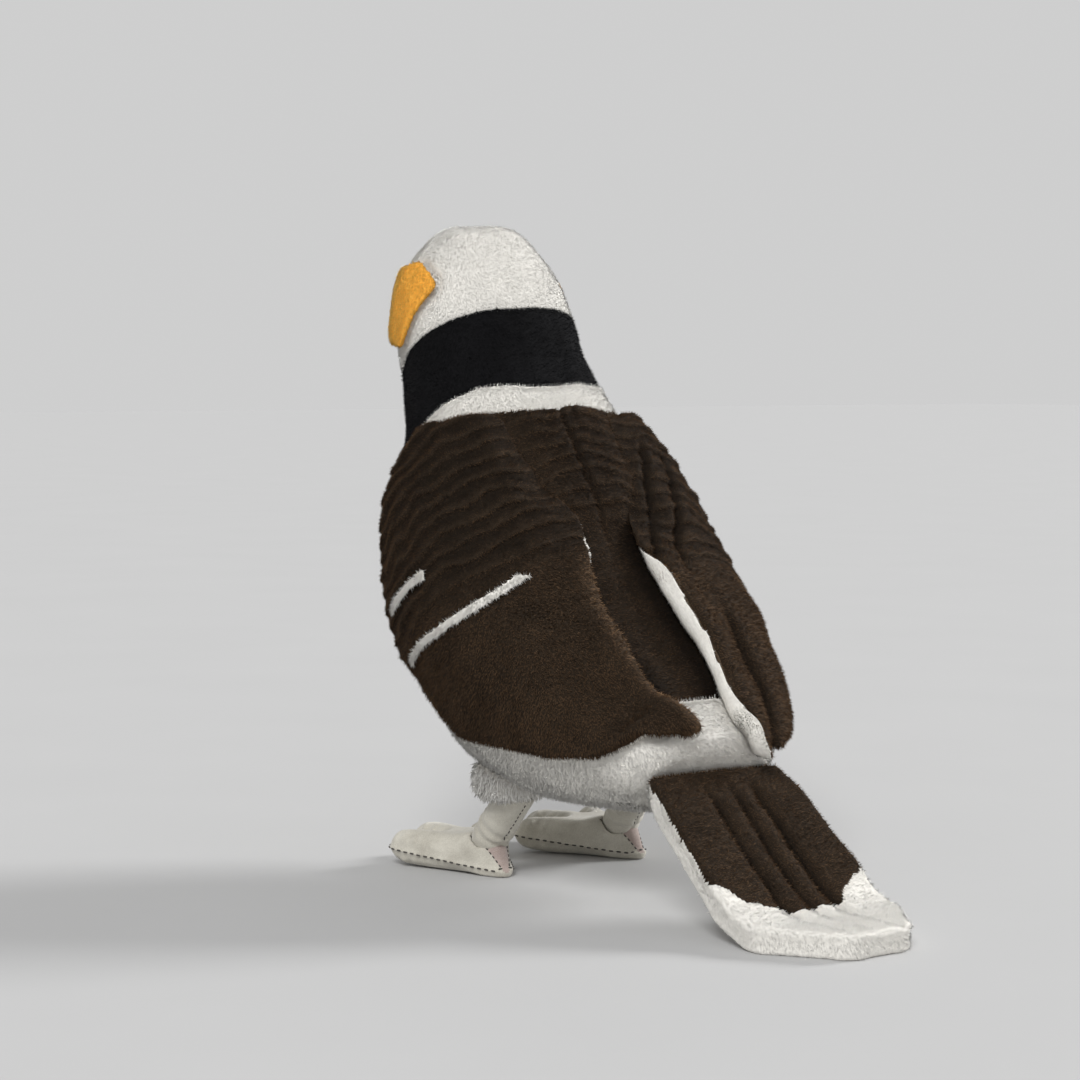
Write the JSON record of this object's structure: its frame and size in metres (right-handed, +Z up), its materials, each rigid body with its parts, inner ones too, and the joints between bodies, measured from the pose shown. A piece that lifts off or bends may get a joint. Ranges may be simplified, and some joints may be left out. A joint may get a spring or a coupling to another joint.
{
  "type": "plush toy bird",
  "caption": "Stuffed plush starling standing on two suede feet and its tail tip, with white head, black collar, quilted brown back, hinged wing flaps and padded tail",
  "frame": {"origin": "on the floor, under the middle of the bird's bounding box", "axes": "+Z up, the bird faces -Y, its tail points to +Y, its left wing is at +X"},
  "size_m": [0.1464, 0.3148, 0.262],
  "materials": {
    "white_plush": "short white plush",
    "fluffy_white_plush": "long white plush",
    "black_plush": "short black plush",
    "brown_plush": "short dark brown plush",
    "orange_plush": "short orange plush",
    "grey_suede": "brushed suede cloth",
    "pinkish_suede": "brushed suede cloth",
    "bill_felt": "stuffed felt",
    "polyester_fibre": "loose filling fibre",
    "wadding": "sheet wadding",
    "pellet_cloth": "woven bag of plastic pellets",
    "armature_wire": "annealed wire",
    "eye_plastic": "polished",
    "washer_plastic": "moulded"
  },
  "bodies": {
    "torso": {"head_cap": "white_plush", "collar_band": "black_plush", "nape_band": "white_plush", "back_panel": "brown_plush", "belly_panel": "white_plush", "head_stuffing": "polyester_fibre", "body_stuffing": "polyester_fibre", "pellet_pouch": "pellet_cloth", "hip_armature": "armature_wire", "left_eye": "eye_plastic", "right_eye": "eye_plastic", "left_eye_washer": "washer_plastic", "right_eye_washer": "washer_plastic", "left_eye_patch": "orange_plush", "right_eye_patch": "orange_plush", "upper_bill": "bill_felt", "lower_bill": "bill_felt", "left_thigh_cuff": "fluffy_white_plush", "right_thigh_cuff": "fluffy_white_plush", "left_shoulder_quilt": "brown_plush", "right_shoulder_quilt": "brown_plush", "left_shoulder_batting": "wadding", "right_shoulder_batting": "wadding"},
    "left_wing": {"left_wing_cover": "brown_plush", "left_wing_batting": "wadding", "left_wing_lining": "white_plush", "left_wing_bars": "white_plush"},
    "left_leg": {"left_leg_sleeve": "grey_suede", "left_leg_filling": "polyester_fibre", "left_leg_wire": "armature_wire"},
    "left_foot": {"left_foot_upper": "grey_suede", "left_foot_sole": "grey_suede", "left_heel_gusset": "pinkish_suede", "left_foot_filling": "polyester_fibre"},
    "right_wing": {"right_wing_cover": "brown_plush", "right_wing_batting": "wadding", "right_wing_lining": "white_plush", "right_wing_bars": "white_plush"},
    "right_leg": {"right_leg_sleeve": "grey_suede", "right_leg_filling": "polyester_fibre", "right_leg_wire": "armature_wire"},
    "right_foot": {"right_foot_upper": "grey_suede", "right_foot_sole": "grey_suede", "right_heel_gusset": "pinkish_suede", "right_foot_filling": "polyester_fibre"},
    "tail": {"tail_cover": "brown_plush", "tail_tip_panel": "white_plush", "tail_batting": "wadding", "tail_lining": "white_plush"}
  },
  "joints": [
    {"name": "left_wing_fold", "type": "hinge", "parent": "torso", "child": "left_wing", "pos_m": [0.04517, 0.00577, 0.16042], "axis": [0.4912, -0.6621, -0.566], "range_deg": [0, 30], "stiffness_Nm_per_rad": 0.004},
    {"name": "right_wing_fold", "type": "hinge", "parent": "torso", "child": "right_wing", "pos_m": [-0.04517, 0.00577, 0.16042], "axis": [0.4912, 0.6621, 0.566], "range_deg": [0, 30], "stiffness_Nm_per_rad": 0.004},
    {"name": "tail_seam", "type": "hinge", "parent": "torso", "child": "tail", "pos_m": [0, 0.06155, 0.04982], "axis": [1, 0, 0], "range_deg": [-20, 20]},
    {"name": "left_hip", "type": "hinge", "parent": "torso", "child": "left_leg", "pos_m": [0.0305, -0.022, 0.035], "axis": [1, 0, 0], "range_deg": [-12, 12]},
    {"name": "left_ankle", "type": "hinge", "parent": "left_leg", "child": "left_foot", "pos_m": [0.0315, -0.04, 0.0145], "axis": [1, 0, 0], "range_deg": [-12, 12]},
    {"name": "right_hip", "type": "hinge", "parent": "torso", "child": "right_leg", "pos_m": [-0.0305, -0.022, 0.035], "axis": [1, 0, 0], "range_deg": [-12, 12]},
    {"name": "right_ankle", "type": "hinge", "parent": "right_leg", "child": "right_foot", "pos_m": [-0.0335, -0.04, 0.0145], "axis": [0.9744, 0.225, 0], "range_deg": [-12, 12]}
  ]
}
